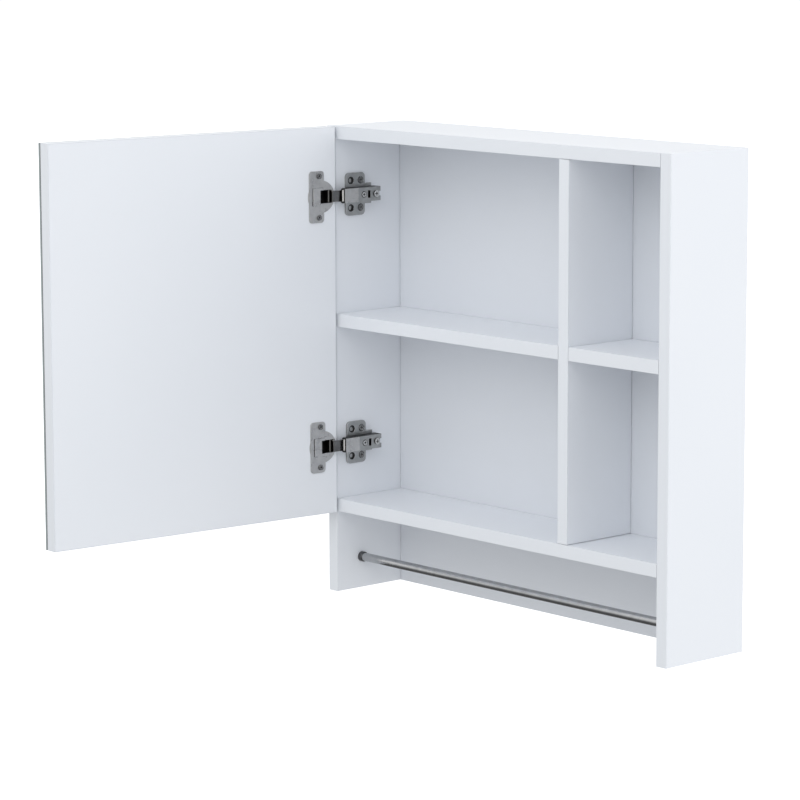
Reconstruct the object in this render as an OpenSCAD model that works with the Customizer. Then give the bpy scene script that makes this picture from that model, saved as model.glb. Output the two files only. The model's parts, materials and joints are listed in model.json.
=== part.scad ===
// Wall-hung bathroom cabinet: a mirror door on the left over two compartments,
// two open compartments on the right and a towel rail in the open bay below.
// Millimetres, +Z up, +Y into the wall. The origin lies on the wall, midway
// between the two keyholes the cabinet hangs from. Drawn with the door open.

/* [Cabinet] */
// width over the two side panels
carcass_w = 550; // [520:1:620]
// depth from the front edges to the wall
carcass_d = 120; // [120:1:160]
// height of the side panels
carcass_h = 550; // [540:1:620]
// thickness of every white panel
board_t = 15; // [15:1:16]
// thickness of the plastic band on each front edge
band_t = 0.8; // [0.5:0.1:1.2]
// height from the side panels' lower ends to the keyholes
hang_z = 500; // [490:1:505]

/* [Inside] */
// height of the bottom panel's underside
bottom_z = 97; // [90:1:110]
// height of both shelves' undersides
shelf_z = 316; // [290:1:330]
// distance from the left outer face to the divider
divider_x = 384; // [376:1:386]
// distance from the front edges to the back panel
back_y = 100; // [100:1:102]

/* [Towel rail] */
// outer radius of the rail
rail_r = 5; // [4:0.5:5.5]
// wall thickness of the rail
rail_wall = 0.8; // [0.6:0.1:1.2]
// distance from the front edges to the rail's axis
rail_y = 38; // [30:1:60]
// height of the rail's axis
rail_z = 37.5; // [25:0.5:50]
// outer radius of the end sockets
socket_r = 6; // [5.8:0.1:8]
// depth of the end sockets
socket_d = 6; // [5:0.5:12]

/* [Door] */
// width of the door
door_w = 388; // [384:1:392]
// height of the door
door_h = 453; // [440:1:453]
// height of the door's lower edge
door_z = 96.5; // [94:0.5:97]
// thickness of the adhesive pads behind the mirror
pad_t = 1; // [0.5:0.1:2]
// thickness of the mirror glass
glass_t = 3; // [3:1:4]
// angle the door stands open, as drawn
door_open = 94.5; // [93:0.5:96]
// opened door's hinge-side inner corner, to the right of the left outer face
corner_x = 19.5; // [19.3:0.1:19.8]
// opened door's hinge-side inner corner, in front of the front edges
corner_out = 4.15; // [4.1:0.05:4.3]

/* [Hinges] */
// distance from each hinge's centre to the door's nearest end
hinge_inset = 80; // [70:1:110]
// radius of the cup let into the door
cup_r = 17.5; // [17.5:0.1:17.5]
// distance from the door's edge to the cup's centre
cup_in = 20.5; // [20.5:0.1:21]
// depth of the cup
cup_depth = 12.5; // [12:0.1:12.5]
// distance between the two screws of a cup
cup_pitch = 48; // [46:1:50]
// distance from the left outer face to the pin in the arm
arm_pin_x = 24; // [23.8:0.1:24.2]
// distance from the front edges back to the pin in the arm
arm_pin_y = 4.2; // [4.1:0.1:4.3]
// distance from the door's edge to the pin in the cup
cup_pin_in = 7.62; // [7.5:0.01:7.7]
// depth of the pin in the cup below the door's inner face
cup_pin_deep = 3; // [2.9:0.1:3.1]
// distance from the side panel to the top of the arm
arm_rise = 15; // [15:0.5:16]
// distance from the front edges to the arm's rear end
arm_end_y = 56.5; // [56:0.5:60]
// distance between the two screws of a mounting plate
plate_pitch = 32; // [32:1:36]

/* [Hidden] */
$fn = 48;
inner_l = board_t;
inner_r = carcass_w - board_t;
divider_r = divider_x + board_t;
back_end = back_y + 15;
upper_z = door_z + door_h - hinge_inset;
lower_z = door_z + hinge_inset;
mid_bottom = bottom_z + board_t / 2;
mid_top = carcass_h - board_t / 2;
mid_shelf = shelf_z + board_t / 2;
mid_divider = divider_x + board_t / 2;
hanger_gap = carcass_w / 2 - 75;
hanger_x = [carcass_w / 2 - hanger_gap, carcass_w / 2 + hanger_gap];
cam_in = 34;
dowel_r = 4;
dowel_l = 30;
dowel_bite = 10;
screw_r = 2;
fit = 0.05;
bottom_cams = [25, 75];
top_cams = [30, 90];
arm_top = board_t + arm_rise;
sheet = 1.2;
arm_half = 8.2;
link_half = 6.8;
pin_r = 1;
plate_t = 2.5;
plate_screw_y = 36.5;
overlay_y = 31;
fixing_y = 49.5;
cup_in_r = cup_r - 1;

white = [0.93, 0.94, 0.95];
steel = [0.72, 0.73, 0.75];
nickel = [0.64, 0.65, 0.66];
timber = [0.82, 0.70, 0.52];
plastic = [0.55, 0.57, 0.60];

// ---- placing ----

// Everything on the cabinet is drawn from its lower front left corner.
module cabinet() {
    translate([-carcass_w / 2, -carcass_d, -hang_z])
        children();
}

// Door parts are drawn closed: +X away from the hinge edge, -Y to the room,
// the inner face at y = 0 and heights as on the cabinet.
module on_door() {
    cabinet()
        translate([corner_x, -corner_out, 0])
            rotate([0, 0, -door_open])
                children();
}

// One copy on the left and one mirrored to the right half of the cabinet.
module both_sides() {
    children();
    translate([carcass_w, 0, 0])
        mirror([1, 0, 0])
            children();
}

// ---- small shapes ----

module block(x, y, z) {
    translate([x[0], y[0], z[0]])
        cube([x[1] - x[0], y[1] - y[0], z[1] - z[0]]);
}

module rod_x(x, y, z, r) {
    translate([x[0], y, z])
        rotate([0, 90, 0])
            cylinder(r = r, h = x[1] - x[0]);
}

module rod_y(x, y, z, r) {
    translate([x, y[1], z])
        rotate([90, 0, 0])
            cylinder(r = r, h = y[1] - y[0]);
}

module rod_z(x, y, z, r) {
    translate([x, y, z[0]])
        cylinder(r = r, h = z[1] - z[0]);
}

// A flat bar between two points in plan, with round ends.
module bar(a, b, t) {
    run = b - a;
    translate(a)
        rotate(atan2(run[1], run[0]))
            translate([0, -t / 2])
                square([norm(run), t]);
    translate(b)
        circle(d = t);
}

// A flat plate with round corners, drawn in plan.
module plate_outline(w, h, r) {
    square([w - 2 * r, h], center = true);
    square([w, h - 2 * r], center = true);
    for (i = [-1, 1], j = [-1, 1])
        translate([i * (w / 2 - r), j * (h / 2 - r)])
            circle(r = r);
}

// ---- where the fasteners go ----

// Cam bolts enter the left side panel and end in housings in the panel.
module cam_bolt(y, z) {
    rod_x([board_t - 11, board_t], y, z, 2.5);
    rod_x([board_t, board_t + cam_in - 5], y, z, 2);
    rod_x([board_t + cam_in - 5, board_t + cam_in - 1], y, z, 3);
}

module cam_bolts_left() {
    for (y = bottom_cams)
        cam_bolt(y, mid_bottom);
    for (y = top_cams)
        cam_bolt(y, mid_top);
}

module cam_housing(y, z) {
    difference() {
        rod_z(board_t + cam_in, y, [z, z + 11.5], 7.5);
        rod_x([board_t + cam_in - 8, board_t + cam_in], y, z + board_t / 2, 3.6);
        rod_z(board_t + cam_in, y, [z - 1, z + 2], 2.5);
    }
}

module cam_housings_left() {
    for (y = bottom_cams)
        cam_housing(y, bottom_z);
    for (y = top_cams)
        cam_housing(y, carcass_h - board_t);
}

// Bores for one cam joint, in the panel and in the side panel.
module cam_bores_left() {
    for (y = bottom_cams) {
        rod_z(board_t + cam_in, y, [bottom_z - 1, bottom_z + 11.5], 7.5 + fit);
        rod_x([board_t, board_t + cam_in - 3], y, mid_bottom, 3.6);
    }
    for (y = top_cams) {
        rod_z(board_t + cam_in, y, [carcass_h - board_t - 1, carcass_h - board_t + 11.5],
            7.5 + fit);
        rod_x([board_t, board_t + cam_in - 3], y, mid_top, 3.6);
    }
    for (y = bottom_cams)
        rod_x([board_t - 12, board_t + 1], y, mid_bottom, 2.5 + fit);
    for (y = top_cams)
        rod_x([board_t - 12, board_t + 1], y, mid_top, 2.5 + fit);
}

// Every dowel, or its bore when grown: r is the radius and e the extra depth.
module dowels(r, e) {
    out = dowel_l - dowel_bite;
    both_sides() {
        rod_x([inner_l - dowel_bite - e, inner_l + out + e], 50, mid_bottom, r);
        rod_x([inner_l - dowel_bite - e, inner_l + out + e], 60, mid_top, r);
    }
    for (y = [25, 75]) {
        rod_x([inner_l - dowel_bite - e, inner_l + out + e], y, mid_shelf, r);
        rod_x([divider_x - out - e, divider_x + dowel_bite + e], y, mid_shelf, r);
        rod_z(mid_divider, y,
            [bottom_z + board_t - dowel_bite - e, bottom_z + board_t + out + e], r);
    }
    for (y = [37, 63]) {
        rod_x([divider_r - dowel_bite - e, divider_r + out + e], y, mid_shelf, r);
        rod_x([inner_r - out - e, inner_r + dowel_bite + e], y, mid_shelf, r);
    }
    for (y = [30, 70])
        rod_z(mid_divider, y,
            [carcass_h - board_t - out - e, carcass_h - board_t + dowel_bite + e], r);
}

// Screws from the rear, or their bores when grown.
module back_screws(r, head_r, e) {
    for (x = [80, 230, 470])
        back_screw(x, mid_bottom, r, head_r, e);
    for (x = [120, 280])
        back_screw(x, mid_shelf, r, head_r, e);
    back_screw((divider_r + inner_r) / 2, mid_shelf, r, head_r, e);
    for (z = [200, 440])
        back_screw(mid_divider, z, r, head_r, e);
}

module back_screw(x, z, r, head_r, e) {
    rod_y(x, [back_y - 25 - e, back_end - 2.5], z, r);
    rod_y(x, [back_end - 2.5, back_end + e], z, head_r);
}

// Hanger plate screws, or their bores when grown.
module hanger_screws(x, r, head_r, e) {
    for (i = [-17, 17], z = [hang_z - 7, hang_z + 22]) {
        rod_y(x + i, [back_end - 11 - e, back_end + 2 + e], z, r);
        rod_y(x + i, [back_end + 2, back_end + 3.6 + e], z, head_r);
    }
}

module rail_screw_left(r, head_r, e) {
    rod_x([board_t - 10 - e, board_t + 0.8], rail_y, rail_z, r);
    rod_x([board_t + 0.8, board_t + 2 + e], rail_y, rail_z, head_r);
}

// Plate screws of one hinge, or their bores when grown.
module plate_screw_pair(z, r, head_r, e) {
    for (i = [-1, 1]) {
        rod_x([board_t - 10 - e, board_t + plate_t + e], plate_screw_y,
            z + i * plate_pitch / 2, r);
        if (head_r > 0)
            rod_x([board_t + plate_t - 1, board_t + plate_t + 0.6], plate_screw_y,
                z + i * plate_pitch / 2, head_r);
    }
}

// ---- carcass ----

module side_board() {
    block([0, board_t], [band_t, carcass_d], [0, carcass_h]);
}

module left_side_panel() {
    color(white)
        cabinet()
            difference() {
                side_board();
                cam_bores_left();
                dowels(dowel_r + fit, 1);
                rail_screw_left(1.75 + fit, 3, 1);
                for (z = [upper_z, lower_z])
                    plate_screw_pair(z, 2.5 + fit, 0, 1);
            }
}

module right_side_panel() {
    color(white)
        cabinet()
            difference() {
                translate([inner_r, 0, 0])
                    side_board();
                translate([carcass_w, 0, 0])
                    mirror([1, 0, 0]) {
                        cam_bores_left();
                        rail_screw_left(1.75 + fit, 3, 1);
                    }
                dowels(dowel_r + fit, 1);
            }
}

module top_panel() {
    color(white)
        cabinet()
            difference() {
                block([inner_l, inner_r], [band_t, carcass_d], [carcass_h - board_t, carcass_h]);
                both_sides()
                    cam_bores_left();
                dowels(dowel_r + fit, 1);
            }
}

module bottom_panel() {
    color(white)
        cabinet()
            difference() {
                block([inner_l, inner_r], [band_t, back_y], [bottom_z, bottom_z + board_t]);
                both_sides()
                    cam_bores_left();
                dowels(dowel_r + fit, 1);
                back_screws(screw_r + fit, 4 + fit, 1);
            }
}

module divider_panel() {
    color(white)
        cabinet()
            difference() {
                block([divider_x, divider_r], [band_t, back_y],
                    [bottom_z + board_t, carcass_h - board_t]);
                dowels(dowel_r + fit, 1);
                back_screws(screw_r + fit, 4 + fit, 1);
            }
}

module left_shelf() {
    color(white)
        cabinet()
            difference() {
                block([inner_l, divider_x], [band_t, back_y], [shelf_z, shelf_z + board_t]);
                dowels(dowel_r + fit, 1);
                back_screws(screw_r + fit, 4 + fit, 1);
            }
}

module right_shelf() {
    color(white)
        cabinet()
            difference() {
                block([divider_r, inner_r], [band_t, back_y], [shelf_z, shelf_z + board_t]);
                dowels(dowel_r + fit, 1);
                back_screws(screw_r + fit, 4 + fit, 1);
            }
}

module back_panel() {
    color(white)
        cabinet()
            difference() {
                block([inner_l, inner_r], [back_y, back_end], [0, carcass_h - board_t]);
                back_screws(screw_r + fit, 4 + fit, 1);
                for (x = hanger_x)
                    hanger_screws(x, 1.75 + fit, 3, 1);
            }
}

// ---- front edge bands ----

module left_side_edge_band() {
    color(white)
        cabinet()
            block([0, board_t], [0, band_t], [0, carcass_h]);
}

module right_side_edge_band() {
    color(white)
        cabinet()
            block([inner_r, carcass_w], [0, band_t], [0, carcass_h]);
}

module top_edge_band() {
    color(white)
        cabinet()
            block([inner_l, inner_r], [0, band_t], [carcass_h - board_t, carcass_h]);
}

module bottom_edge_band() {
    color(white)
        cabinet()
            block([inner_l, inner_r], [0, band_t], [bottom_z, bottom_z + board_t]);
}

module divider_edge_band() {
    color(white)
        cabinet()
            block([divider_x, divider_r], [0, band_t],
                [bottom_z + board_t, carcass_h - board_t]);
}

module left_shelf_edge_band() {
    color(white)
        cabinet()
            block([inner_l, divider_x], [0, band_t], [shelf_z, shelf_z + board_t]);
}

module right_shelf_edge_band() {
    color(white)
        cabinet()
            block([divider_r, inner_r], [0, band_t], [shelf_z, shelf_z + board_t]);
}

// ---- towel rail ----

module towel_rail() {
    color(steel)
        cabinet()
            difference() {
                rod_x([inner_l + 2.5, inner_r - 2.5], rail_y, rail_z, rail_r);
                rod_x([inner_l + 1, inner_r - 1], rail_y, rail_z, rail_r - rail_wall);
            }
}

module rail_socket() {
    difference() {
        rod_x([inner_l, inner_l + socket_d], rail_y, rail_z, socket_r);
        rod_x([inner_l + 2.2, inner_l + socket_d + 1], rail_y, rail_z, rail_r + fit);
        rail_screw_left(1.75 + fit, 3 + fit, 1);
    }
}

module left_rail_socket() {
    color(nickel)
        cabinet()
            rail_socket();
}

module right_rail_socket() {
    color(nickel)
        cabinet()
            translate([carcass_w, 0, 0])
                mirror([1, 0, 0])
                    rail_socket();
}

module rail_socket_screws() {
    color(steel)
        cabinet()
            both_sides()
                rail_screw_left(1.75, 3, 0);
}

// ---- joining hardware ----

module cam_lock_housings() {
    color(plastic)
        cabinet()
            both_sides()
                cam_housings_left();
}

module cam_lock_bolts() {
    color(steel)
        cabinet()
            both_sides()
                cam_bolts_left();
}

module wooden_dowels() {
    color(timber)
        cabinet()
            dowels(dowel_r, 0);
}

module back_panel_screws() {
    color(steel)
        cabinet()
            back_screws(screw_r, 4, 0);
}

// A pressed plate with its middle raised to the wall; a screw head enters the
// round hole and drops behind the narrow slot above it.
module hanger_plate(x) {
    z = [hang_z - 15, hang_z + 30];
    difference() {
        union() {
            block([x - 12, x + 12], [carcass_d - 2, carcass_d], z);
            for (i = [-1, 1]) {
                translate([x + i * 11 - 1, back_end, z[0]])
                    cube([2, carcass_d - back_end, z[1] - z[0]]);
                translate([x + i * 16 - 6, back_end, z[0]])
                    cube([12, 2, z[1] - z[0]]);
            }
        }
        rod_y(x, [carcass_d - 3, carcass_d + 1], hang_z, 5);
        rod_y(x, [carcass_d - 3, carcass_d + 1], hang_z + 12, 2.75);
        block([x - 2.75, x + 2.75], [carcass_d - 3, carcass_d + 1], [hang_z, hang_z + 12]);
        hanger_screws(x, 1.75 + fit, 0.1, 1);
    }
}

module left_hanger_plate() {
    color(steel)
        cabinet()
            hanger_plate(hanger_x[0]);
}

module right_hanger_plate() {
    color(steel)
        cabinet()
            hanger_plate(hanger_x[1]);
}

module hanger_plate_screws() {
    color(steel)
        cabinet()
            for (x = hanger_x)
                hanger_screws(x, 1.75, 3.2, 0);
}

// ---- hinges, on the cabinet ----

// Wings on the side panel and a ridge that carries the arm.
module mounting_plate(z) {
    difference() {
        union() {
            translate([board_t, 28.5, z])
                rotate([90, 0, 90])
                    linear_extrude(plate_t)
                        plate_outline(29, 50, 5);
            block([board_t, board_t + plate_t], [14, 53], [z - 12, z + 12]);
            block([board_t, arm_top - sheet], [14, arm_end_y - 1], [z - 6.6, z + 6.6]);
        }
        plate_screw_pair(z, 2.5 + fit, 0, 1);
        for (i = [-1, 1]) {
            rod_x([board_t + 0.5, board_t + plate_t + 1], 21.5, z + i * plate_pitch / 2, 2.5);
            for (y = [21.5, plate_screw_y])
                rod_x([board_t + plate_t - 1, board_t + plate_t + 1], y,
                    z + i * plate_pitch / 2, 4.4);
        }
        rod_x([arm_top - 10, arm_top], overlay_y, z, 2 + fit);
        rod_x([arm_top - 12, arm_top], fixing_y, z, 2 + fit);
        block([arm_top - 8, arm_top], [37, 41], [z - 4.2, z + 4.2]);
    }
}

// The arm in plan: a nose round the pin, then the long cheek.
module arm_cheek_outline() {
    translate([arm_pin_x, arm_pin_y])
        circle(r = 2.8);
    translate([arm_pin_x, arm_pin_y - 2.8])
        square([arm_top - arm_pin_x, 2.8]);
    translate([arm_pin_x - 2.8, arm_pin_y])
        square([arm_top - arm_pin_x + 2.8, 9]);
    translate([board_t + plate_t + 0.3, arm_pin_y + 7])
        square([arm_rise - plate_t - 0.3, arm_end_y - arm_pin_y - 7]);
}

module hinge_arm(z) {
    difference() {
        union() {
            for (i = [-1, 1])
                translate([0, 0, z + i * (arm_half - sheet / 2) - sheet / 2])
                    linear_extrude(sheet)
                        arm_cheek_outline();
            block([arm_top - sheet, arm_top], [arm_pin_y - 2.8, arm_end_y],
                [z - arm_half, z + arm_half]);
        }
        rod_z(arm_pin_x, arm_pin_y, [z - 10, z + 10], pin_r + fit);
        rod_x([arm_top - 2, arm_top + 1], overlay_y, z, 3.8);
        block([arm_top - 2, arm_top + 1], [37, 41], [z - 4.4, z + 4.4]);
        rod_x([arm_top - 2, arm_top + 1], fixing_y, z, 2.75);
        block([arm_top - 2, arm_top + 1], [fixing_y, arm_end_y + 1], [z - 2.75, z + 2.75]);
    }
}

module overlay_screw(z) {
    difference() {
        union() {
            rod_x([arm_top - 9, arm_top - sheet], overlay_y, z, 2);
            rod_x([arm_top - sheet, arm_top + 0.3], overlay_y, z, 3);
        }
        cross_recess(arm_top - 0.9, overlay_y, z, 3.4);
    }
}

module fixing_screw(z) {
    difference() {
        union() {
            rod_x([arm_top - 11, arm_top], fixing_y, z, 2);
            rod_x([arm_top, arm_top + 1.4], fixing_y, z, 3.9);
        }
        cross_recess(arm_top + 0.4, fixing_y, z, 4.4);
    }
}

module cross_recess(x, y, z, w) {
    block([x, x + 3], [y - w / 2, y + w / 2], [z - 0.5, z + 0.5]);
    block([x, x + 3], [y - 0.5, y + 0.5], [z - w / 2, z + w / 2]);
}

module plate_screws(z) {
    difference() {
        plate_screw_pair(z, 2.5, 3.8, 0);
        for (i = [-1, 1])
            cross_recess(board_t + plate_t - 0.3, plate_screw_y, z + i * plate_pitch / 2, 4.4);
    }
}

module arm_pin(z) {
    rod_z(arm_pin_x, arm_pin_y, [z - arm_half, z + arm_half], pin_r);
    for (i = [-1, 1])
        translate([arm_pin_x, arm_pin_y, z + i * (arm_half + 0.35) - 0.35])
            cylinder(r = 1.7, h = 0.7);
}

module upper_mounting_plate() {
    color(nickel)
        cabinet()
            mounting_plate(upper_z);
}

module upper_plate_screws() {
    color(steel)
        cabinet()
            plate_screws(upper_z);
}

module upper_hinge_arm() {
    color(nickel)
        cabinet()
            hinge_arm(upper_z);
}

module upper_overlay_screw() {
    color(steel)
        cabinet()
            overlay_screw(upper_z);
}

module upper_fixing_screw() {
    color(steel)
        cabinet()
            fixing_screw(upper_z);
}

module upper_arm_pin() {
    color(steel)
        cabinet()
            arm_pin(upper_z);
}

module lower_mounting_plate() {
    color(nickel)
        cabinet()
            mounting_plate(lower_z);
}

module lower_plate_screws() {
    color(steel)
        cabinet()
            plate_screws(lower_z);
}

module lower_hinge_arm() {
    color(nickel)
        cabinet()
            hinge_arm(lower_z);
}

module lower_overlay_screw() {
    color(steel)
        cabinet()
            overlay_screw(lower_z);
}

module lower_fixing_screw() {
    color(steel)
        cabinet()
            fixing_screw(lower_z);
}

module lower_arm_pin() {
    color(steel)
        cabinet()
            arm_pin(lower_z);
}

// ---- hinge links ----

// The link wraps round the door's edge, from the arm's pin to the cup's pin.
module hinge_link(z) {
    c = cos(door_open);
    s = sin(door_open);
    arm_pin = [arm_pin_x, arm_pin_y];
    cup_pin = [corner_x + c * cup_pin_in - s * cup_pin_deep,
        -corner_out - s * cup_pin_in - c * cup_pin_deep];
    elbow = [arm_pin_x, arm_pin_y - 7.8];
    heel = [arm_pin_x - 1.2, arm_pin_y - 15.8];
    translate([0, 0, z - link_half])
        linear_extrude(2 * link_half)
            difference() {
                union() {
                    bar(arm_pin, elbow, 1.4);
                    bar(elbow, heel, 1.4);
                    bar(heel, cup_pin, 1.4);
                    translate(arm_pin)
                        circle(r = 2.2);
                    translate(cup_pin)
                        circle(r = 2);
                }
                translate(arm_pin)
                    circle(r = pin_r + 0.08);
                translate(cup_pin)
                    circle(r = pin_r + (z == lower_z ? 0.3 : 0.08));
            }
}

module upper_hinge_link() {
    color(nickel)
        cabinet()
            hinge_link(upper_z);
}

module lower_hinge_link() {
    color(nickel)
        cabinet()
            hinge_link(lower_z);
}

// ---- door ----

module cup_screw_pair(z, r, head_r, e) {
    for (i = [-1, 1])
        translate([24, 0, z + i * cup_pitch / 2])
            rotate([90, 0, 0]) {
                translate([0, 0, -1 - e])
                    cylinder(r = r, h = 12 + 2 * e);
                if (head_r > 0)
                    translate([0, 0, -2])
                        cylinder(r = head_r, h = 1);
            }
}

module door_panel() {
    color(white)
        on_door()
            difference() {
                block([band_t, door_w - band_t], [-board_t, 0],
                    [door_z + band_t, door_z + door_h - band_t]);
                for (z = [upper_z, lower_z]) {
                    rod_y(cup_in, [-cup_depth, 1], z, cup_r + fit);
                    cup_screw_pair(z, 1.75 + fit, 0, 1);
                }
            }
}

module door_edge_band() {
    color(white)
        on_door()
            difference() {
                block([0, door_w], [-board_t, 0], [door_z, door_z + door_h]);
                block([band_t, door_w - band_t], [-board_t - 1, 1],
                    [door_z + band_t, door_z + door_h - band_t]);
            }
}

module door_mirror() {
    color([0.75, 0.82, 0.86])
        on_door()
            block([0, door_w], [-board_t - pad_t - glass_t, -board_t - pad_t],
                [door_z, door_z + door_h]);
}

module mirror_adhesive_pads() {
    color(plastic)
        on_door()
            for (x = [30, (door_w - 25) / 2, door_w - 55])
                block([x, x + 25], [-board_t - pad_t, -board_t],
                    [door_z + 20, door_z + door_h - 20]);
}

// The cup: a pressed pot with a rim, a flange for the screws, a lid with a
// slot for the link, and two lugs under the lid that hold the pin.
module hinge_cup(z) {
    difference() {
        union() {
            rod_y(cup_in, [-cup_depth, 0], z, cup_r);
            rod_y(cup_in, [0, 0.6], z, cup_r + 1.3);
            translate([27.5, 1, z])
                rotate([90, 0, 0])
                    linear_extrude(1)
                        plate_outline(21, 60, 4);
        }
        difference() {
            rod_y(cup_in, [-cup_depth + 1, 2], z, cup_in_r);
            block([17, 40], [0, 1], [z - 20, z + 20]);
            for (i = [-1, 1]) {
                translate([cup_pin_in - 2.2, -cup_pin_deep - 2.2, z + i * 8.7 - 1.2])
                    cube([4.4, 4.4, 2.4]);
                block([0, 40], [-1, 0.6], [z + i * 17.7 - 10, z + i * 17.7 + 10]);
            }
        }
        block([18 - fit, 33 + fit], [-1.1, 3], [z - 10.5 - fit, z + 10.5 + fit]);
        block([16, 19], [-1.1, 3], [z - 7.7, z + 7.7]);
        rod_z(cup_pin_in, -cup_pin_deep, [z - 9.6, z + 9.6], pin_r + fit);
        cup_screw_pair(z, 1.75 + fit, 0, 1);
    }
}

// The soft-close housing fills the far half of the cup; a pit at its near end
// leaves room for the link when the door is shut.
module damper_cover(z) {
    difference() {
        block([18, 33], [-cup_depth + 1, 2], [z - 10.5, z + 10.5]);
        block([17, 22.5], [-10, 3], [z - 7.6, z + 7.6]);
    }
}

module cup_screws(z) {
    difference() {
        cup_screw_pair(z, 1.75, 3.4, 0);
        for (i = [-1, 1]) {
            block([24 - 2, 24 + 2], [1.3, 4], [z + i * 24 - 0.5, z + i * 24 + 0.5]);
            block([24 - 0.5, 24 + 0.5], [1.3, 4], [z + i * 24 - 2, z + i * 24 + 2]);
        }
    }
}

module cup_pin(z) {
    rod_z(cup_pin_in, -cup_pin_deep, [z - 9.5, z + 9.5], pin_r);
}

module upper_hinge_cup() {
    color(nickel)
        on_door()
            hinge_cup(upper_z);
}

module upper_damper_cover() {
    color(nickel)
        on_door()
            damper_cover(upper_z);
}

module upper_cup_screws() {
    color(steel)
        on_door()
            cup_screws(upper_z);
}

module upper_cup_pin() {
    color(steel)
        on_door()
            cup_pin(upper_z);
}

module lower_hinge_cup() {
    color(nickel)
        on_door()
            hinge_cup(lower_z);
}

module lower_damper_cover() {
    color(nickel)
        on_door()
            damper_cover(lower_z);
}

module lower_cup_screws() {
    color(steel)
        on_door()
            cup_screws(lower_z);
}

module lower_cup_pin() {
    color(steel)
        on_door()
            cup_pin(lower_z);
}

// ---- drawing ----

left_side_panel();
right_side_panel();
top_panel();
bottom_panel();
divider_panel();
left_shelf();
right_shelf();
back_panel();
left_side_edge_band();
right_side_edge_band();
top_edge_band();
bottom_edge_band();
divider_edge_band();
left_shelf_edge_band();
right_shelf_edge_band();
towel_rail();
left_rail_socket();
right_rail_socket();
rail_socket_screws();
cam_lock_housings();
cam_lock_bolts();
wooden_dowels();
back_panel_screws();
left_hanger_plate();
right_hanger_plate();
hanger_plate_screws();
upper_mounting_plate();
upper_plate_screws();
upper_hinge_arm();
upper_overlay_screw();
upper_fixing_screw();
upper_arm_pin();
lower_mounting_plate();
lower_plate_screws();
lower_hinge_arm();
lower_overlay_screw();
lower_fixing_screw();
lower_arm_pin();
upper_hinge_link();
lower_hinge_link();
door_panel();
door_edge_band();
door_mirror();
mirror_adhesive_pads();
upper_hinge_cup();
upper_damper_cover();
upper_cup_screws();
upper_cup_pin();
lower_hinge_cup();
lower_damper_cover();
lower_cup_screws();
lower_cup_pin();
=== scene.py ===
# %% [markdown]
# # A mirror cabinet for the bathroom wall
# This lesson dresses a finished CAD model. The CAD has already settled every
# size and every pivot, so nothing is measured by eye here: each piece takes
# its place from the box of the CAD node that it stands for.

# %% Load the frame
import json
import math

import bmesh
import bpy
import numpy as np
from mathutils import Matrix, Vector


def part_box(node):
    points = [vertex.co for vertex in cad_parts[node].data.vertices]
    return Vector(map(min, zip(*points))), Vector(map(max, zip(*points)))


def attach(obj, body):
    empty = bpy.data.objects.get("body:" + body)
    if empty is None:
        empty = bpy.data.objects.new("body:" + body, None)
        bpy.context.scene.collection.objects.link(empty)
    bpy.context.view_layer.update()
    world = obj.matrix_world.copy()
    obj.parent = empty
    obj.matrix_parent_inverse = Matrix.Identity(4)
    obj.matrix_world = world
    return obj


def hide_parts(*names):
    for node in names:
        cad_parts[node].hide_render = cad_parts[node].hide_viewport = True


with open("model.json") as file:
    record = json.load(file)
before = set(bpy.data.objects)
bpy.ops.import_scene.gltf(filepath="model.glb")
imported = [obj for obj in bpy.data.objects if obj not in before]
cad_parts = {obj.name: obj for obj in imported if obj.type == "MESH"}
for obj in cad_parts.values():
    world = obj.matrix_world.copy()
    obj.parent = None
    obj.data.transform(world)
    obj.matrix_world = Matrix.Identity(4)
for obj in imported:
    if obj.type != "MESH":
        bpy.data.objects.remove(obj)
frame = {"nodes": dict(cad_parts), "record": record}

MM = 0.001
scene = bpy.context.scene
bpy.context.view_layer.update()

# %% [markdown]
# The record says which body each node rides on and which finish it has. Each piece could carry
# both facts by hand, but then a mistake is easy to make. One small table lets a piece name its
# node and look up its body.

# %% Who rides where
body_of_node = {}
for body, members in frame["record"]["behaviour"]["bodies"].items():
    for member in members:
        body_of_node[member] = body
print("bodies:", sorted(set(body_of_node.values())))

# %% [markdown]
# ## Finishes
# Every finish is a node material, worked out from Object coordinates. The
# pieces all keep their objects at the origin, so those coordinates are metres
# in the room, and a noise of scale 900 has grains about a millimetre across.
# Two helpers set up what all the finishes share: a shader, and a noise with a
# Mapping node in front of it that can stretch the grains.


# %% A material to start from
def finish_named(name):
    material = bpy.data.materials.new(name)
    material.use_nodes = True
    tree = material.node_tree
    return material, tree, tree.nodes["Principled BSDF"]


def noise(tree, scale, stretch=(1, 1, 1), detail=3.0):
    place = tree.nodes.new("ShaderNodeTexCoord")
    mapping = tree.nodes.new("ShaderNodeMapping")
    mapping.inputs["Scale"].default_value = stretch
    texture = tree.nodes.new("ShaderNodeTexNoise")
    texture.inputs["Scale"].default_value = scale
    texture.inputs["Detail"].default_value = detail
    tree.links.new(place.outputs["Object"], mapping.inputs["Vector"])
    tree.links.new(mapping.outputs["Vector"], texture.inputs["Vector"])
    return texture.outputs["Fac"]


# %% [markdown]
# A noise runs from 0 to 1, but it hardly ever leaves its middle. Used as it is,
# it would barely change a colour. So each helper below spreads the middle range
# over the two values that are wanted, and links the result to the shader.

# %% Noise into colour, roughness and bump
NOISE_LOW = 0.3
NOISE_HIGH = 0.7


def colour(tree, shader, value, first, second):
    ramp = tree.nodes.new("ShaderNodeValToRGB")
    start, end = ramp.color_ramp.elements
    start.position, start.color = NOISE_LOW, (*first, 1)
    end.position, end.color = NOISE_HIGH, (*second, 1)
    tree.links.new(value, ramp.inputs["Fac"])
    tree.links.new(ramp.outputs["Color"], shader.inputs["Base Color"])


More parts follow.
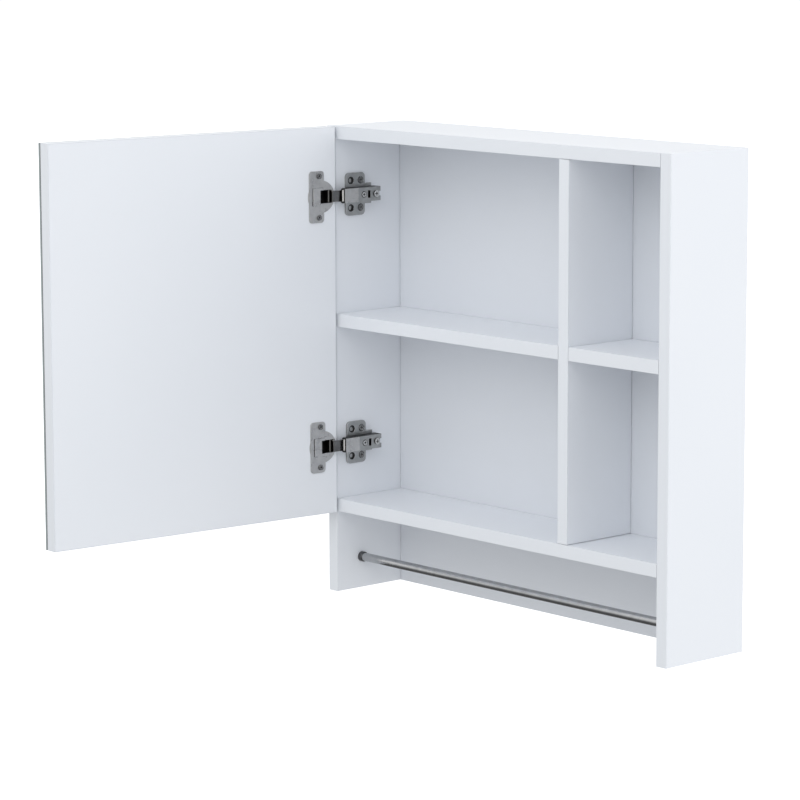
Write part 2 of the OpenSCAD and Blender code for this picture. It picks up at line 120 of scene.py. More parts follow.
def roughness(tree, shader, value, low, high):
    spread = tree.nodes.new("ShaderNodeMapRange")
    spread.inputs["From Min"].default_value = NOISE_LOW
    spread.inputs["From Max"].default_value = NOISE_HIGH
    spread.inputs["To Min"].default_value = low
    spread.inputs["To Max"].default_value = high
    tree.links.new(value, spread.inputs["Value"])
    tree.links.new(spread.outputs["Result"], shader.inputs["Roughness"])


def bump(tree, shader, value, strength, depth):
    node = tree.nodes.new("ShaderNodeBump")
    node.inputs["Strength"].default_value = strength
    node.inputs["Distance"].default_value = depth
    tree.links.new(value, node.inputs["Height"])
    tree.links.new(node.outputs["Normal"], shader.inputs["Normal"])


print("a noise is spread over", NOISE_LOW, "to", NOISE_HIGH)

# %% [markdown]
# White furniture board has a skin of melamine paper. It looks plain, but it
# carries a very fine pearl grain from the press plate, which breaks up the
# highlights, and its white drifts a little across a board. Modelling the grain
# would take millions of faces, so it goes into the bump, and a slow noise moves
# the colour by about one part in fifty. The back panel has a thinner paper over
# the same board and is a shade greyer.

# %% White melamine
PRESS_GRAIN = 1400
SLOW_DRIFT = 3.5
PRESS_STRENGTH = 0.10
PRESS_DEPTH = 0.02 * MM
SHEEN_SPREAD = 0.05
MELAMINE_IOR = 1.48


def melamine(name, first, second, rough):
    material, tree, shader = finish_named(name)
    grain = noise(tree, PRESS_GRAIN, detail=2.0)
    drift = noise(tree, SLOW_DRIFT, detail=2.0)
    colour(tree, shader, drift, first, second)
    roughness(tree, shader, grain, rough - SHEEN_SPREAD, rough + SHEEN_SPREAD)
    bump(tree, shader, grain, PRESS_STRENGTH, PRESS_DEPTH)
    shader.inputs["IOR"].default_value = MELAMINE_IOR
    return material


white_board = melamine("white melamine", (0.845, 0.868, 0.905), (0.865, 0.885, 0.920), 0.42)
back_white = melamine("back panel melamine", (0.765, 0.788, 0.825), (0.785, 0.806, 0.842), 0.46)
edge_white = melamine("white edge band", (0.835, 0.860, 0.895), (0.855, 0.878, 0.912), 0.36)
print("boards are dressed in", white_board.name, "and", back_white.name)

# %% [markdown]
# The hinges are pressed steel under a nickel plate, with soft reflections. One
# even grey would look like plastic. The plate is never quite even, so roughness
# and colour both follow a cloudy noise, and a fine noise in the bump leaves the
# marks of the press. Stretching that noise along one axis draws it out.

# %% Plated metal
CLOUD = 120
CLOUD_SPREAD = 0.06
GRAIN_STRENGTH = 0.15
EVEN = (1, 1, 1)
DRAWN = (1, 1, 6)


def plated(name, first, second, rough, grain_scale, depth, stretch=EVEN):
    material, tree, shader = finish_named(name)
    cloud = noise(tree, CLOUD, detail=4.0)
    grain = noise(tree, grain_scale, stretch=stretch, detail=2.0)
    colour(tree, shader, cloud, first, second)
    roughness(tree, shader, cloud, rough - CLOUD_SPREAD, rough + CLOUD_SPREAD)
    bump(tree, shader, grain, GRAIN_STRENGTH, depth)
    shader.inputs["Metallic"].default_value = 1.0
    return material


# %% [markdown]
# The cup and the front of the arm are a warm nickel, and the mounting plate is duller. The link
# is the same metal, but its colour is made much darker, a painted reflection of the dark inside
# of the hinge.

# %% Hinge metals
nickel = plated("nickel plate", (0.47, 0.46, 0.45), (0.58, 0.57, 0.555),
                0.30, 500, 0.02 * MM, DRAWN)
plate_nickel = plated("plate nickel", (0.32, 0.325, 0.32), (0.42, 0.42, 0.415),
                      0.34, 500, 0.02 * MM, DRAWN)
# The link's near-black colour is a painted reflection.
polished = plated("link with painted dark reflection", (0.13, 0.128, 0.125), (0.19, 0.186, 0.18),
                  0.20, 400, 0.01 * MM, (1, 1, 8))
print("hinge metals:", [m.name for m in (nickel, plate_nickel, polished)])

# %% [markdown]
# Rolled edges get a much lighter metal, partly as wear from handling and partly as a painted
# highlight. Slots, screw recesses and faces in the shade of other parts get a near-black metal
# as painted shade. A texture could paint both on, but then it has to line up with the shape. A
# finish of their own, given face by face, always does.

# %% Edges, recesses and screws
# Lighter metal for rolled edges: wear and a painted highlight.
wear_and_highlight = plated("worn edge and painted highlight", (0.72, 0.715, 0.70), (0.86, 0.855, 0.84),
                   0.22, 900, 0.01 * MM)
# Near-black metal for recesses and shaded faces: painted shade.
painted_shade = plated("painted recess shade", (0.035, 0.034, 0.033), (0.07, 0.068, 0.066),
                     0.45, 700, 0.02 * MM)
screw_steel = plated("screw steel", (0.122, 0.122, 0.121), (0.194, 0.193, 0.189),
                     0.24, 700, 0.01 * MM)
# Lighter steel for the adjusting screws: a painted highlight.
highlit_screw = plated("screw head with painted highlight", (0.50, 0.495, 0.485), (0.66, 0.655, 0.64),
                      0.22, 700, 0.01 * MM)
print("small metals:", [m.name for m in (wear_and_highlight, painted_shade, screw_steel, highlit_screw)])

# %% [markdown]
# The rail is a drawn tube, brushed along its length, so its grain is pulled out
# fifty times along x. Its collars are darker. The hangers are plain galvanised
# sheet and the cams are cast zinc, both rougher than anything in front.

# %% Rail and fitting metals
rail_steel = plated("rail steel", (0.42, 0.425, 0.435), (0.52, 0.525, 0.535),
                    0.17, 1500, 0.02 * MM, (0.02, 1, 1))
collar_steel = plated("dark collar", (0.10, 0.10, 0.105), (0.17, 0.17, 0.175),
                      0.35, 700, 0.02 * MM)
galvanised = plated("galvanised sheet", (0.42, 0.43, 0.44), (0.60, 0.61, 0.62),
                    0.42, 300, 0.03 * MM)
zinc = plated("cast zinc", (0.30, 0.30, 0.30), (0.42, 0.42, 0.42),
              0.48, 900, 0.05 * MM)
print("other metals:", [m.name for m in (rail_steel, collar_steel, galvanised, zinc)])

# %% [markdown]
# A mirror is clear glass with silver behind it. A sheet of real glass over a
# metal one would show the same thing and render far more slowly. Seen from the
# front it acts as one bright metal sheet under a thin gloss coat, so that is
# how it is made, with almost no roughness.

# %% Silvered glass
silver, tree, shader = finish_named("silvered glass")
haze = noise(tree, 6, detail=2.0)
colour(tree, shader, haze, (0.84, 0.87, 0.87), (0.87, 0.90, 0.90))
roughness(tree, shader, haze, 0.015, 0.03)
shader.inputs["Metallic"].default_value = 1.0
shader.inputs["Coat Weight"].default_value = 0.5
shader.inputs["Coat Roughness"].default_value = 0.02
print("front of the mirror:", silver.name)

# %% [markdown]
# The glass has a ground edge, which is dark, grey-green and frosted, and its
# back is sealed with grey paint.

# %% Glass edge and back paint
glass_edge, tree, shader = finish_named("ground glass edge")
frost = noise(tree, 900, detail=3.0)
colour(tree, shader, frost, (0.27, 0.31, 0.31), (0.38, 0.42, 0.42))
roughness(tree, shader, frost, 0.30, 0.50)
bump(tree, shader, frost, 0.2, 0.03 * MM)

back_paint, tree, shader = finish_named("mirror back paint")
colour(tree, shader, noise(tree, 60), (0.20, 0.21, 0.22), (0.26, 0.27, 0.28))
shader.inputs["Roughness"].default_value = 0.6
print("edge and back of the mirror:", glass_edge.name, "and", back_paint.name)

# %% [markdown]
# Two finishes are left for pieces that mostly stay out of sight: the foam of
# the adhesive pads, and the beech of the dowels, whose grain is a noise pulled
# out along the dowel.

# %% Foam and beech
foam, tree, shader = finish_named("adhesive foam")
cells = noise(tree, 1500, detail=4.0)
colour(tree, shader, cells, (0.50, 0.50, 0.51), (0.62, 0.62, 0.63))
bump(tree, shader, cells, 0.4, 0.1 * MM)
shader.inputs["Roughness"].default_value = 0.9

beech, tree, shader = finish_named("beech")
fibre = noise(tree, 500, stretch=(0.1, 1, 1), detail=5.0)
colour(tree, shader, fibre, (0.55, 0.40, 0.25), (0.68, 0.52, 0.35))
bump(tree, shader, fibre, 0.3, 0.05 * MM)
shader.inputs["Roughness"].default_value = 0.7
print("hidden finishes:", foam.name, "and", beech.name)

# %% [markdown]
# ## Keeping a piece
# A finished bmesh becomes an object that rides on its node's body and hides that node. Smooth
# shading would tilt the normals at the corners of a big flat face towards its bevels and smear
# faint triangles over it. A Weighted Normal modifier lets the biggest face at a corner decide
# instead. The helper prints each piece as it makes it.

# %% From bmesh to piece
SHARP_SHADING = math.radians(38)
BIG_FACES_DECIDE = 100


def keep(bm, node, *materials):
    mesh = bpy.data.meshes.new(node + "_piece")
    bm.to_mesh(mesh)
    bm.free()
    mesh.shade_smooth()
    mesh.set_sharp_from_angle(angle=SHARP_SHADING)
    for material in materials:
        mesh.materials.append(material)
    piece = bpy.data.objects.new(mesh.name, mesh)
    scene.collection.objects.link(piece)
    even = piece.modifiers.new("even_shading", "WEIGHTED_NORMAL")
    even.weight = BIG_FACES_DECIDE
    even.keep_sharp = True
    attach(piece, body_of_node[node])
    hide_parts(node)
    print(piece.name, "rides on", body_of_node[node], "with", len(mesh.polygons), "faces")
    return piece


# %% [markdown]
# ## The boards
# A board is a box, and no real board has a perfectly sharp arris. A Bevel
# modifier would round it too, but the same bevel as a bmesh operator also works
# on the CAD copies further down, so one helper does both.

# %% A box with rounded edges
def box_bmesh(low, high):
    bm = bmesh.new()
    bmesh.ops.create_cube(bm, size=1)
    bmesh.ops.scale(bm, vec=high - low, verts=bm.verts)
    bmesh.ops.translate(bm, vec=(low + high) / 2, verts=bm.verts)
    return bm


def round_edges(bm, edges, width, segments=2, clamp=False):
    rounded = bmesh.ops.bevel(bm, geom=edges, offset=width, offset_type="OFFSET",
                              affect="EDGES", segments=segments, profile=0.5,
                              material=-1, clamp_overlap=clamp)
    return rounded["faces"]


trial = box_bmesh(Vector((0, 0, 0)), Vector((1, 1, 1)))
round_edges(trial, trial.edges[:], 0.1)
print("a box with rounded edges has", len(trial.faces), "faces")
trial.free()

# %% [markdown]
# Where two boards meet there is a hair of shadow. Two boxes that touch exactly
# would melt into one white shape, so a board is held back by half a millimetre
# where it butts against a neighbour. The letters say where: x, y and z mean its
# low ends, X, Y and Z its high ones.

# %% A hair of shadow at the joints
SHADOW_GAP = 0.5 * MM
TOUCHING = 0.01 * MM


def held_back(bm, node, ends):
    low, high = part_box(node)
    for vert in bm.verts:
        for axis, letter in enumerate("xyz"):
            if letter in ends and vert.co[axis] < low[axis] + TOUCHING:
                vert.co[axis] += SHADOW_GAP
            if letter.upper() in ends and vert.co[axis] > high[axis] - TOUCHING:
                vert.co[axis] -= SHADOW_GAP


def board(node, material, ends, arris):
    bm = box_bmesh(*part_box(node))
    held_back(bm, node, ends)
    round_edges(bm, bm.edges[:], arris)
    return keep(bm, node, material)


print("boards keep", round(SHADOW_GAP / MM, 2), "mm away from their neighbours")

# %% [markdown]
# The sides, the divider and the two shelves have no bore that shows, so plain
# boxes are enough. Their front edges carry a band of white plastic, trimmed
# with a smaller radius than the boards' own.

# %% The plain boards and their front bands
BOARD_ARRIS = 0.5 * MM
BAND_ARRIS = 0.3 * MM
for node, ends in (("left_side_panel", ""), ("right_side_panel", ""),
                   ("divider_panel", "zYZ"), ("left_shelf", "xYX"), ("right_shelf", "xYX")):
    board(node, white_board, ends, BOARD_ARRIS)
for node, ends in (("left_side_edge_band", ""), ("right_side_edge_band", ""),
                   ("top_edge_band", "xX"), ("bottom_edge_band", "xX"),
                   ("divider_edge_band", "zZ"), ("left_shelf_edge_band", "xX"),
                   ("right_shelf_edge_band", "xX")):
    board(node, edge_white, ends, BAND_ARRIS)
side_low, side_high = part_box("left_side_panel")
print("side panel in mm:", [round(length / MM, 1) for length in side_high - side_low])

# %% [markdown]
# ## Softening a CAD shape
# Boards with bores, and the pressed metal of the hinges, already have the right
# shape in the CAD mesh, and drawing them again would only add mistakes. That
# mesh is loose triangles, so it is left alone and a copy is worked on: merge
# the doubles, dissolve the flat triangles into whole faces, then bevel only the
# edges that turn sharply.

# %% A merged copy
MERGE = 0.001 * MM
FLAT = math.radians(0.5)


def merged_copy(node):
    bm = bmesh.new()
    bm.from_mesh(frame["nodes"][node].data)
    bmesh.ops.remove_doubles(bm, verts=bm.verts, dist=MERGE)
    bmesh.ops.dissolve_limit(bm, angle_limit=FLAT, verts=bm.verts, edges=bm.edges,
                             use_dissolve_boundaries=False)
    return bm


trial = merged_copy("top_panel")
triangles = len(frame["nodes"]["top_panel"].data.polygons)
print("top panel:", triangles, "loose triangles become", len(trial.faces), "faces")
trial.free()

# %% [markdown]
# A copy has three material slots: its body, its worn and highlighted edges, and the painted
# shade of its recesses. Two small tests that each face has to pass pick the faces for the
# painted shade and for the edge highlight, and cut_y draws a straight border across the piece
# for a second finish.

# %% A softened copy
BODY, WEAR_HIGHLIGHT, SHADE_SLOT = 0, 1, 2
SHARP_TURN = math.radians(32)


def softened(node, material, width, edge=None, recess=None, ends="",
             rubbed_or_lit=lambda face: True, cut_y=None):
    bm = merged_copy(node)
    held_back(bm, node, ends)
    if cut_y is not None:
        bmesh.ops.bisect_plane(bm, geom=bm.verts[:] + bm.edges[:] + bm.faces[:],
                               plane_co=(0, cut_y, 0), plane_no=(0, 1, 0))
    bm.normal_update()
    # Faces that pass the recess test take the near-black painted shade.
    for face in bm.faces:
        face.material_index = SHADE_SLOT if recess and recess(face) else BODY
    sharp = [e for e in bm.edges
             if len(e.link_faces) == 2 and e.calc_face_angle(0.0) > SHARP_TURN]
    # Bevel faces that pass the rubbed test take the lighter metal, partly wear and partly a
    # painted highlight.
    for face in round_edges(bm, sharp, width, clamp=True):
        if edge and face.material_index != SHADE_SLOT and rubbed_or_lit(face):
            face.material_index = WEAR_HIGHLIGHT
    return keep(bm, node, material, edge or material, painted_shade)


# %% [markdown]
# The top, the bottom and the back are bored for cams, screws and hangers, and
# the door for its two hinge cups. Saw-cut boards are eased a little, and the
# band round the door, which hands touch, is rounded most.

# %% Boards with bores
BORED_ARRIS = 0.3 * MM
DOOR_ARRIS = 0.25 * MM
DOOR_BAND_ARRIS = 0.45 * MM
softened("top_panel", white_board, BORED_ARRIS, ends="xX")
softened("bottom_panel", white_board, BORED_ARRIS, ends="xYX")
softened("back_panel", back_white, BORED_ARRIS, ends="xX")
softened("door_panel", white_board, DOOR_ARRIS)
softened("door_edge_band", edge_white, DOOR_BAND_ARRIS)

# %% [markdown]
# ## The mirror
# The mirror covers the whole front of the door, and the door stands open at an
# angle. A box is only simple to draw square to the axes, so the glass is drawn
# as if the door were shut and is then turned. The angle isn't typed in: it is
# the direction in which the CAD mirror's own vertices spread the most.

# %% Which way the door points
mirror_vertices = frame["nodes"]["door_mirror"].data.vertices
corners = np.array([v.co[:2] for v in mirror_vertices])
spread = np.cov((corners - corners.mean(0)).T)
along = np.linalg.eigh(spread)[1][:, 1]
hinge_side = np.array(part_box("upper_cup_pin")[0][:2])
if (corners.mean(0) - hinge_side) @ along < 0:
    along = -along
door_turn = math.atan2(along[1], along[0])
unturn = Matrix.Rotation(-door_turn, 4, "Z")
print("the door stands open by", round(-math.degrees(door_turn), 2), "degrees")

# %% [markdown]
# Each face of the box gets its own finish before the bevel: silver in front,
# paint behind, ground glass round the edge. The bevel then takes the finish of
# the faces beside it.

# %% The glass
GLASS_ARRIS = 0.4 * MM
flat = np.array([(unturn @ v.co)[:] for v in mirror_vertices])
bm = box_bmesh(Vector(flat.min(0)), Vector(flat.max(0)))
front = min(bm.faces, key=lambda f: f.calc_center_median().y)
rear = max(bm.faces, key=lambda f: f.calc_center_median().y)
for face in bm.faces:
    face.material_index = 1
front.material_index = 0
rear.material_index = 2
round_edges(bm, bm.edges[:], GLASS_ARRIS, segments=3)
bmesh.ops.rotate(bm, cent=(0, 0, 0), matrix=Matrix.Rotation(door_turn, 3, "Z"), verts=bm.verts)
keep(bm, "door_mirror", silver, glass_edge, back_paint)
print("glass thickness in mm:", round((flat.max(0) - flat.min(0))[1] / MM, 2))

# %% [markdown]
# ## The towel rail
# A tube could be a cylinder with a second one cut out of it. A profile turned
# round the axis is cleaner: it runs along the outside and the bore, rolls over
# at the two ends, and the spin closes on itself because use_merge joins the
# last ring to the first.


# %% Turning a profile round the rail's axis
def turned(node, profile, axis_point, material, steps=40):
    bm = bmesh.new()
    verts = [bm.verts.new((x, axis_point.y, axis_point.z + r)) for x, r in profile]
    edges = [bm.edges.new((a, b)) for a, b in zip(verts, verts[1:] + verts[:1])]
    bmesh.ops.spin(bm, geom=verts + edges, cent=axis_point, axis=(1, 0, 0),
                   angle=math.tau, steps=steps, use_merge=True, use_duplicate=False)
    bmesh.ops.remove_doubles(bm, verts=bm.verts, dist=MERGE)
    bmesh.ops.recalc_face_normals(bm, faces=bm.faces)
    return keep(bm, node, material)


# %% [markdown]
# The rail's length and diameter are its node's box. Only the wall and the small
# lip where the tube was cut and deburred are added here.

# %% The tube
RAIL_WALL = 0.8 * MM
RAIL_LIP = 0.3 * MM
low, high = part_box("towel_rail")
rail_axis = (low + high) / 2
rail_r = (high.z - low.z) / 2
rail_bore = rail_r - RAIL_WALL
turned("towel_rail", [(low.x + RAIL_LIP, rail_r), (high.x - RAIL_LIP, rail_r),
                      (high.x, rail_r - RAIL_LIP), (high.x, rail_bore),
                      (low.x, rail_bore), (low.x, rail_r - RAIL_LIP)],
       rail_axis, rail_steel)
print("rail diameter in mm:", round(2 * rail_r / MM, 2))

# %% [markdown]
# Each end of the rail sits in a small turned collar, a cup with a screw hole in
# its floor. Its mouth is rolled over, so the outline steps in twice, by two
# small chamfers. The right collar has the same outline, turned to face the left.

# %% Collars
MOUTH_STEPS = ((1.2, 0.0), (0.4, 0.3), (0.0, 0.8))
COLLAR_FLOOR = 2.2
SCREW_HOLE_R = 1.8 * MM
collar_bore = rail_r + 0.05 * MM
for node, mouth in (("left_rail_socket", 1), ("right_rail_socket", -1)):
    low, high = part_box(node)
    base, tip = (low.x, high.x) if mouth > 0 else (high.x, low.x)
    radius = (high.z - low.z) / 2
    step = mouth * MM
    floor_x = base + COLLAR_FLOOR * step
    outline = [(tip - back * step, radius - inwards * MM) for back, inwards in MOUTH_STEPS]
    turned(node, [(base, radius), *outline, (tip, collar_bore), (floor_x, collar_bore),
                  (floor_x, SCREW_HOLE_R), (base, SCREW_HOLE_R)],
           rail_axis, collar_steel)
    print("collar diameter in mm:", round(2 * radius / MM, 2))

# %% [markdown]
# ## The hinges
# Their shapes come straight from the CAD, softened. Pressed sheet has a rolled edge about a
# third of its thickness, and screws have a smaller one. A face counts as recessed, and takes
# the painted shade, when it lies below a given skin: the door's inner face for the cup, the top
# of its own head for a screw.

# %% What lies below the skin
door_skin = max((unturn @ v.co).y for v in frame["nodes"]["door_panel"].data.vertices)


def under_door_skin(depth):
    return lambda face: (unturn @ face.calc_center_median()).y < door_skin + depth


def under_skin_x(height):
    return lambda face: face.calc_center_median().x < height


print("door skin is at", round(door_skin / MM, 2), "mm in the door's own direction")

# %% [markdown]
# The mounting plate needs a finer test. Three places on it take the painted shade: the walls of
# the holes in its two wings, the deep pit in its ridge, and the ridge's top, which lies in the
# arm's shade. All are measured in millimetres from the plate's own corner and middle line.

# %% Recesses of the mounting plate
WING_REACH = (11 * MM, 21 * MM)
WING_LENGTH = (1 * MM, 28 * MM)
HOLE_WALL = (0.8 * MM, 2.4 * MM)
PIT_LENGTH = (22 * MM, 28 * MM)
PIT_REACH = 4.3 * MM
TOP_SKIN = 0.1 * MM


def within(value, limits):
    return limits[0] < value < limits[1]


def plate_shade_test(node):
    low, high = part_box(node)
    middle = (low.z + high.z) / 2

    def recess(face):
        centre = face.calc_center_median()
        along_plate = centre.y - low.y
        off_middle = abs(centre.z - middle)
        in_hole = (within(off_middle, WING_REACH) and within(along_plate, WING_LENGTH)
                   and within(centre.x - low.x, HOLE_WALL))
        in_pit = within(along_plate, PIT_LENGTH) and off_middle < PIT_REACH
        under_arm = centre.x > high.x - TOP_SKIN
        return in_hole or in_pit or under_arm
    return recess


# %% [markdown]
# The mounting plate is screwed to the side panel, and everything else hangs on
# it. Both hinges are alike, so each step does the upper and the lower one.

# %% Mounting plates
SIDES = ("upper_", "lower_")
SHEET_ARRIS = 0.35 * MM
for side in SIDES:
    node = side + "mounting_plate"
    softened(node, plate_nickel, SHEET_ARRIS, wear_and_highlight, plate_shade_test(node))

# %% [markdown]
# The arm's front part is polished and its rear is left as dull as the plate.
# Two separate pieces would show a seam, so bisect_plane cuts the faces along a
# straight border and the ones behind it take a fourth slot.

# %% Arms
ARM_SKIN = 1.25 * MM
POLISHED_LENGTH = 21 * MM
REAR = 3
for side in SIDES:
    low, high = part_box(side + "hinge_arm")
    border = low.y + POLISHED_LENGTH
    # Faces more than ARM_SKIN below the arm's top take the painted shade.
    arm = softened(side + "hinge_arm", nickel, SHEET_ARRIS, wear_and_highlight,
                   under_skin_x(high.x - ARM_SKIN), cut_y=border)
    arm.data.materials.append(plate_nickel)
    for face in arm.data.polygons:
        if face.material_index == BODY and face.center.y > border:
            face.material_index = REAR
print("each arm is polished for", round(POLISHED_LENGTH / MM), "mm")

# %% [markdown]
# The cup is pressed into a bore in the door, and the damper's cover closes most of it. Whatever
# lies below the door's skin is inside the cup and takes the painted shade, and so does the
# cover up to a hair above it.

# %% Cups and damper covers
CUP_ARRIS = 0.25 * MM
CUP_DEPTH = -0.5 * MM
COVER_ARRIS = 0.4 * MM
COVER_HEIGHT = 0.4 * MM
for side in SIDES:
    softened(side + "hinge_cup", nickel, CUP_ARRIS, wear_and_highlight, under_door_skin(CUP_DEPTH))
    softened(side + "damper_cover", nickel, COVER_ARRIS, wear_and_highlight,
             under_door_skin(COVER_HEIGHT))

# %% [markdown]
# Each link ends in a knuckle rolled round the arm's pin. It takes the same light metal as the
# worn edges, partly as wear from the arm and partly as a painted highlight. Of the link's own
# bevels only the upper and lower ones take it, as a painted highlight along its top and bottom,
# so the test asks for faces that look up or down.

# %% Links
LINK_ARRIS = 0.5 * MM
KNUCKLE_R = 2.4 * MM
UP_OR_DOWN = 0.2
for side in SIDES:
    link = softened(side + "hinge_link", polished, LINK_ARRIS, wear_and_highlight,
                    rubbed_or_lit=lambda face: abs(face.normal.z) > UP_OR_DOWN)
    pin_low, pin_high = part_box(side + "arm_pin")
    pin_axis = (pin_low + pin_high) / 2
    knuckle = [face for face in link.data.polygons
               if (face.center - pin_axis).to_2d().length < KNUCKLE_R]
    for face in knuckle:
        face.material_index = WEAR_HIGHLIGHT
    print("of those,", len(knuckle), "are the bright knuckle")

# %% [markdown]
# Screw heads are the smallest pieces that show, and what makes them read as screws is the dark
# cross in a lighter head. The CAD has the cross, and the faces below the head's top take the
# painted shade. The arm's two screws, which adjust the door, have a lighter steel as a painted
# highlight and are the brightest.

# %% Screws and pins
SMALL_ARRIS = 0.2 * MM
CUP_PIN_ARRIS = 0.15 * MM
HEAD_SKIN = 0.3 * MM
CUP_SCREW_HEIGHT = 1.8 * MM
for side in SIDES:
    for screws, material in (("plate_screws", screw_steel), ("overlay_screw", highlit_screw),
                             ("fixing_screw", highlit_screw)):
        head_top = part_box(side + screws)[1].x
        softened(side + screws, material, SMALL_ARRIS, wear_and_highlight,
                 under_skin_x(head_top - HEAD_SKIN))
    softened(side + "cup_screws", screw_steel, SMALL_ARRIS, wear_and_highlight,
             under_door_skin(CUP_SCREW_HEIGHT))
    softened(side + "arm_pin", screw_steel, SMALL_ARRIS)
    softened(side + "cup_pin", screw_steel, CUP_PIN_ARRIS)

# %% [markdown]
# ## Fittings behind the scenes
# The hangers, the cams and the rear screws show from behind and from below, so
# they are softened too. What is buried in the boards keeps its CAD mesh and
# only takes a finish.

# %% Fittings
HANGER_ARRIS = 0.3 * MM
for node in ("left_hanger_plate", "right_hanger_plate"):
    softened(node, galvanised, HANGER_ARRIS)
for node, material in (("hanger_plate_screws", screw_steel), ("back_panel_screws", screw_steel),
                       ("cam_lock_housings", zinc), ("mirror_adhesive_pads", foam)):
    softened(node, material, SMALL_ARRIS)
for node, material in (("wooden_dowels", beech), ("cam_lock_bolts", screw_steel),
                       ("rail_socket_screws", screw_steel)):
    frame["nodes"][node].material_slots[0].material = material
    print(node, "keeps its mesh and takes", material.name)

# %% [markdown]
# ## Room, light and camera
# The cabinet hangs clear of everything, and the pale floor is set so far below
# that a camera can look up from underneath. A floor that only caught the lamps
# would turn grey at a distance, so it shines a little, and it is kept out of
# the reflections and the bounced light.

# %% Floor
FLOOR_DROP = 4.0
FLOOR_HALF = 60
FLOOR_GLOW = 0.6
bm = bmesh.new()
bmesh.ops.create_grid(bm, x_segments=1, y_segments=1, size=FLOOR_HALF)
bmesh.ops.translate(bm, vec=(0, 0, -FLOOR_DROP), verts=bm.verts)
floor_mesh = bpy.data.meshes.new("pale_floor")
bm.to_mesh(floor_mesh)
bm.free()
floor_paint, tree, shader = finish_named("pale floor")
colour(tree, shader, noise(tree, 2.0), (0.93, 0.93, 0.93), (0.95, 0.95, 0.95))
shader.inputs["Roughness"].default_value = 0.9
shader.inputs["Emission Color"].default_value = (1, 1, 1, 1)
shader.inputs["Emission Strength"].default_value = FLOOR_GLOW
floor_mesh.materials.append(floor_paint)
floor = bpy.data.objects.new("pale_floor", floor_mesh)
scene.collection.objects.link(floor)
floor.visible_diffuse = False
floor.visible_glossy = False
print("floor lies", FLOOR_DROP, "m below the row's origin")

# %% [markdown]
# Most of the light is the room itself: a white surround that is brighter above
# than below, as under a studio ceiling. A single even colour would make every
# board face the same grey. The direction's height, between the two limits,
# sets the strength.

# %% The surround
SURROUND_BELOW = 0.66
SURROUND_ABOVE = 0.87
SURROUND_TINT = (0.97, 0.985, 1.0, 1)
SLOPE = 0.6
world = bpy.data.worlds.new("studio")
world.use_nodes = True
scene.world = world
room = world.node_tree
room.nodes.clear()
surround = room.nodes.new("ShaderNodeBackground")
surround.inputs["Color"].default_value = SURROUND_TINT
direction = room.nodes.new("ShaderNodeTexCoord")
split = room.nodes.new("ShaderNodeSeparateXYZ")
lift = room.nodes.new("ShaderNodeMapRange")
lift.inputs["From Min"].default_value = -SLOPE
lift.inputs["From Max"].default_value = SLOPE
lift.inputs["To Min"].default_value = SURROUND_BELOW
lift.inputs["To Max"].default_value = SURROUND_ABOVE
room.links.new(direction.outputs["Generated"], split.inputs["Vector"])
room.links.new(split.outputs["Z"], lift.inputs["Value"])
room.links.new(lift.outputs["Result"], surround.inputs["Strength"])
print("surround runs from", SURROUND_BELOW, "to", SURROUND_ABOVE)

# %% [markdown]
# Polished metal only looks like metal when it has something dark to reflect, so
# studios lay a black board below it. Reflected rays therefore see a second
# surround that is bright from eye level up and fades to dark towards the floor.
# Matt surfaces never notice it, and the mirror gets a soft gradient to show.

# %% A black board for the reflections
STOPS = [(0.0, 0.10), (0.25, 0.14), (0.36, 0.42), (0.46, 0.80), (0.58, 1.0), (1.0, 1.0)]
BOARDS_LEVEL = 1.02
boards = room.nodes.new("ShaderNodeBackground")
boards.inputs["Strength"].default_value = BOARDS_LEVEL
height_ramp = room.nodes.new("ShaderNodeValToRGB")
height_ramp.color_ramp.interpolation = "EASE"
while len(height_ramp.color_ramp.elements) < len(STOPS):
    height_ramp.color_ramp.elements.new(0.5)
for element, (position, level) in zip(height_ramp.color_ramp.elements, STOPS):
    element.position = position
    element.color = (level, level, level, 1)
half_up = room.nodes.new("ShaderNodeMapRange")
half_up.inputs["From Min"].default_value = -1.0
room.links.new(split.outputs["Z"], half_up.inputs["Value"])
room.links.new(half_up.outputs["Result"], height_ramp.inputs["Fac"])
room.links.new(height_ramp.outputs["Color"], boards.inputs["Color"])
print("reflections see", len(STOPS), "levels of grey")

# %% [markdown]
# Behind the cabinet there is plain white. A Light Path node sorts the rays:
# reflected ones see the boards, ones straight from the camera the backdrop, and
# all the others the surround.

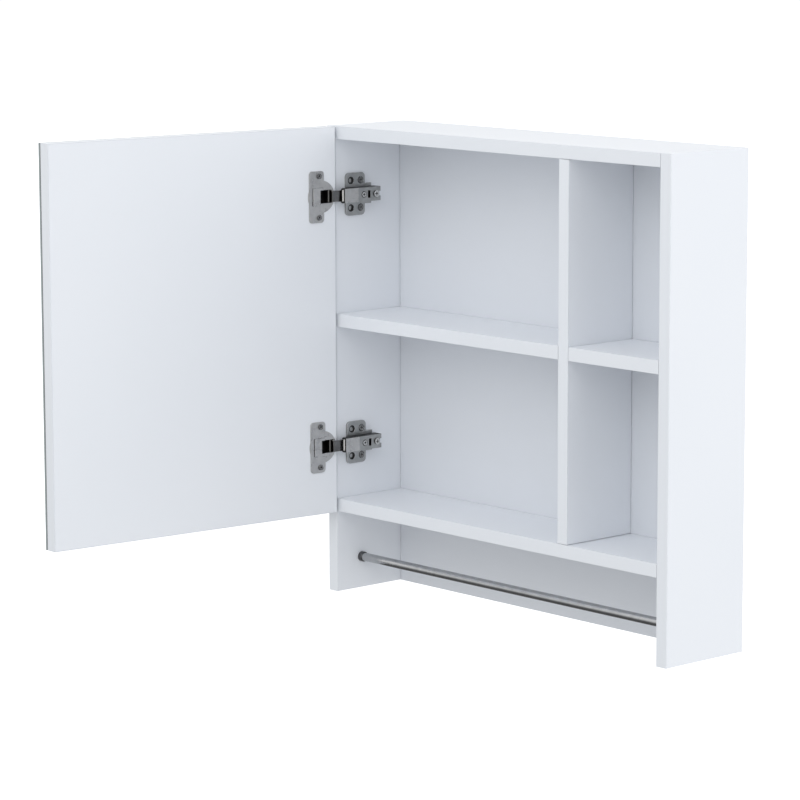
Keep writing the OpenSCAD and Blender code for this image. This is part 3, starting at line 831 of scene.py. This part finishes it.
# %% Which ray sees which room
BACKDROP_LEVEL = 1.05
backdrop = room.nodes.new("ShaderNodeBackground")
backdrop.inputs["Color"].default_value = (1, 1, 1, 1)
backdrop.inputs["Strength"].default_value = BACKDROP_LEVEL
rays = room.nodes.new("ShaderNodeLightPath")
output = room.nodes.new("ShaderNodeOutputWorld")
reflected = room.nodes.new("ShaderNodeMixShader")
seen = room.nodes.new("ShaderNodeMixShader")
room.links.new(rays.outputs["Is Glossy Ray"], reflected.inputs["Fac"])
room.links.new(surround.outputs["Background"], reflected.inputs[1])
room.links.new(boards.outputs["Background"], reflected.inputs[2])
room.links.new(rays.outputs["Is Camera Ray"], seen.inputs["Fac"])
room.links.new(reflected.outputs["Shader"], seen.inputs[1])
room.links.new(backdrop.outputs["Background"], seen.inputs[2])
room.links.new(seen.outputs["Shader"], output.inputs["Surface"])
print("world has", len(room.nodes), "nodes")

# %% [markdown]
# Two large round lamps shape the white boards without hard shadows. One to the
# right makes the outer side the brightest face, and one high in front reaches
# the shelves. A smaller lamp would throw a sharp shadow of each shelf on the
# back panel.

# %% Lamps
LAMP_TINT = (0.97, 0.98, 1.0)
LAMP_SIZE = 3.2
LIT_POINT = Vector((0, -0.1, -0.2))


def soft_lamp(name, place, watts):
    data = bpy.data.lights.new(name, "AREA")
    data.shape = "DISK"
    data.size = LAMP_SIZE
    data.energy = watts
    data.color = LAMP_TINT
    lamp = bpy.data.objects.new(name, data)
    lamp.location = place
    lamp.rotation_mode = "QUATERNION"
    lamp.rotation_quaternion = (LIT_POINT - Vector(place)).to_track_quat("-Z", "Y")
    scene.collection.objects.link(lamp)
    print(name, "gives", watts, "W")


soft_lamp("side_lamp", (2.8, 0.7, 0.1), 24)
soft_lamp("front_lamp", (0.8, -2.6, 1.9), 25)

# %% [markdown]
# The camera stands to the right of the cabinet and a little above it. A short
# lens close by would spread the uprights apart. A long lens from further off,
# as a furniture catalogue uses, keeps them nearly parallel.

# %% Camera
LENS = 153.25
SENSOR = 36
CAMERA_PLACE = (2.7242, -2.6960, 0.3461)
HEADING = math.radians(48.12)
DIP = math.radians(8.90)
ROLL = math.radians(-0.14)
camera_data = bpy.data.cameras.new("camera")
camera_data.sensor_width = SENSOR
camera_data.lens = LENS
camera = bpy.data.objects.new("camera", camera_data)
camera.location = CAMERA_PLACE
forward = Vector((-math.sin(HEADING) * math.cos(DIP), math.cos(HEADING) * math.cos(DIP),
                  -math.sin(DIP)))
camera.rotation_mode = "QUATERNION"
camera.rotation_quaternion = forward.to_track_quat("-Z", "Y")
camera.rotation_quaternion.rotate(Matrix.Rotation(-ROLL, 4, forward))
scene.collection.objects.link(camera)
scene.camera = camera
scene.view_settings.view_transform = "Standard"
print("camera is", round(camera.location.length, 2), "m from the row's origin")
